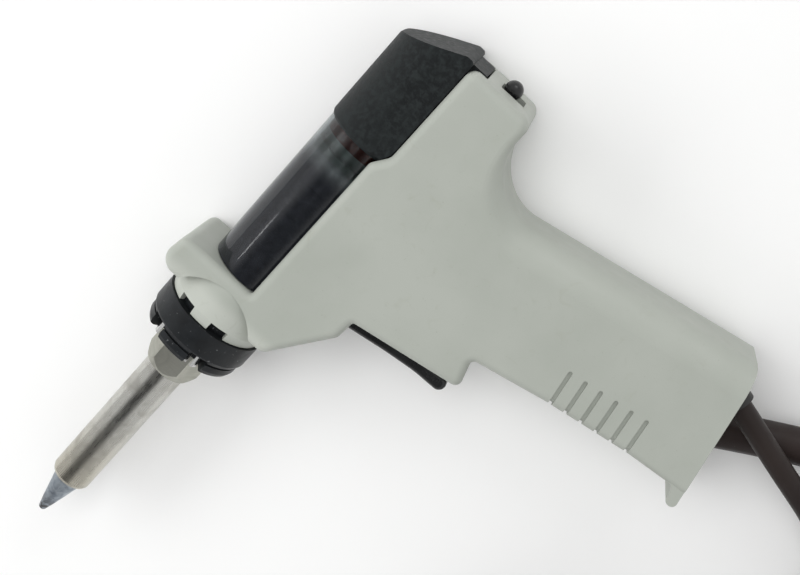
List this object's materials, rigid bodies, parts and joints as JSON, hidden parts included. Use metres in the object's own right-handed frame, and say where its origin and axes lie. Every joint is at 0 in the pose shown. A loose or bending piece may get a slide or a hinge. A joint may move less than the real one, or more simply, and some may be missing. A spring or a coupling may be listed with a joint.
{
  "type": "desoldering gun",
  "caption": "Pistol-grip electric desoldering gun: hot suction nozzle, see-through solder chamber with pull-out filter cartridge, trigger, release knob, vacuum hose and cable",
  "frame": {"origin": "Middle of the underside of the gun as it lies on its right side, measured without the cords.", "axes": "+X rearwards along the barrel, away from the nozzle; +Y the gun's up, with the handle towards -Y; +Z the gun's left side, upwards as it lies."},
  "size_m": [0.21, 0.366, 0.0469],
  "materials": {
    "housing": "light grey-beige moulded plastic, fine satin grain",
    "steel": "plain steel",
    "black_plastic": "black moulded plastic",
    "switch_body": "black switch case",
    "red_plastic": "red switch plunger",
    "plated_nozzle": "iron-plated, blue-grey and heat tinted",
    "polished_steel": "polished stainless tube, slightly heat tinted",
    "nickel": "dull nickel plate",
    "ceramic": "heater ceramic",
    "phenolic": "black heat-resistant moulding with a slight sheen",
    "chrome": "bright plated bolts",
    "smoked_glass": "dark smoked heat-resistant glass",
    "seal_rubber": "red-brown silicone rubber",
    "trap_plate": "plain aluminium",
    "filter_paper": "white ceramic-fibre paper",
    "pale_plastic": "pale heat-resistant plastic",
    "cap_plastic": "matt black fine-grained plastic",
    "brass": "plain brass",
    "clear_hose": "milky silicone hose",
    "black_rubber": "black rubber",
    "wire_red": "red silicone wire",
    "wire_blue": "blue silicone wire",
    "hose_rubber": "dark brown-black hose",
    "cable_rubber": "dark brown-black cable jacket",
    "tie_plastic": "black strap",
    "plug_metal": "nickel-plated plug shell"
  },
  "bodies": {
    "gun": {"housing_left": "housing", "housing_right": "housing", "housing_screws": "steel", "trigger_pin": "steel", "trigger_spring": "steel", "micro_switch": "switch_body", "nozzle": "plated_nozzle", "barrel": "polished_steel", "barrel_nut": "nickel", "heating_core": "ceramic", "suction_pipe": "steel", "heater_flange": "phenolic", "heater_base": "phenolic", "flange_bolts": "chrome", "vacuum_nipple": "brass", "inner_hose": "clear_hose", "hose_elbow": "black_plastic", "hose_grommet": "black_rubber", "cable_grommet": "black_rubber", "cable_inner": "black_rubber", "cable_clamp": "black_plastic", "heater_wires": "wire_red", "switch_wires": "wire_blue", "release_spring": "steel", "vacuum_hose": "hose_rubber", "hose_coil": "hose_rubber", "hose_strap": "tie_plastic", "hose_connector": "nickel", "cable": "cable_rubber", "cable_coil": "cable_rubber", "cable_strap": "tie_plastic", "cable_plug": "plug_metal", "plug_pins": "brass"},
    "trigger": {"trigger": "black_plastic"},
    "switch_plunger": {"switch_plunger": "red_plastic"},
    "latch": {"release_slider": "black_plastic"},
    "cartridge": {"glass_tube": "smoked_glass", "front_seal": "seal_rubber", "solder_trap": "steel", "trap_seat": "trap_plate", "filter_pad": "filter_paper", "filter_holder": "pale_plastic", "rear_seal": "seal_rubber", "rear_cap": "cap_plastic"}
  },
  "joints": [
    {"name": "trigger_pull", "type": "hinge", "parent": "gun", "child": "trigger", "pos_m": [0.0206, 0.02992, 0.0171], "axis": [0, 0, 1], "range_deg": [0, 6.2], "stiffness_Nm_per_rad": 0.4, "springref_deg": -3.44},
    {"name": "switch_press", "type": "slide", "parent": "gun", "child": "switch_plunger", "axis": [1, 0, 0], "range_m": [0, 0.00195]},
    {"name": "knob_slide", "type": "slide", "parent": "gun", "child": "latch", "axis": [0, -1, 0], "range_m": [0, 0.0021], "stiffness_N_per_m": 600, "springref_m": -0.002, "deforming": ["release_spring"]},
    {"name": "cartridge_slide", "type": "slide", "parent": "gun", "child": "cartridge", "axis": [1, 0, 0], "range_m": [0, 0.11]}
  ],
  "couplings": [
    {"joint": "switch_press", "follows": "trigger_pull", "m_per_rad": 0.01784}
  ]
}
